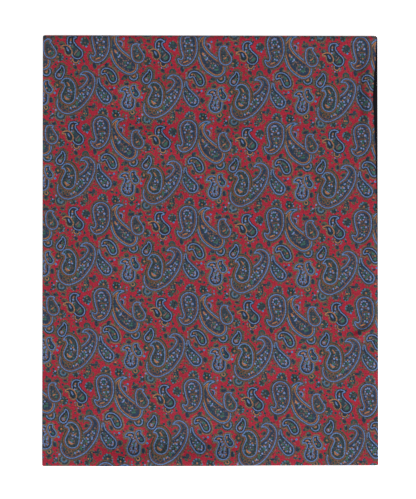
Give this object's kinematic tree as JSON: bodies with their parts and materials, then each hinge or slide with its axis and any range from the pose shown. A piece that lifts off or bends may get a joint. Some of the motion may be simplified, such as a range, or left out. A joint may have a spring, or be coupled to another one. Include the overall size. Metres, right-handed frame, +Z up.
{
  "type": "folded silk scarf",
  "caption": "Long lined scarf folded in four and lying flat: an oblong stack with a rounded fold at each end, a plain backing edge on one long side, and a flat underside.",
  "frame": {"origin": "centre of the underside of the folded stack, on the surface that it rests on", "axes": "+X across the scarf towards the edge where the backing shows, +Y along the scarf towards the outer fold, +Z up out of the surface"},
  "size_m": [0.3358, 0.431, 0.0124],
  "materials": {
    "printed_silk": "silk twill printed in a small paisley: crimson ground with navy, blue, tan and green, soft matt sheen",
    "printed_silk_under": "the same printed silk twill, on the underside",
    "backing": "plain near-black brushed wool backing, matt",
    "folded_layers": "edges of the folded plies: printed silk over near-black backing"
  },
  "bodies": {
    "root": {"silk_top": "printed_silk", "silk_under": "printed_silk_under", "backing_top": "backing", "hidden_layers": "folded_layers"}
  },
  "joints": []
}
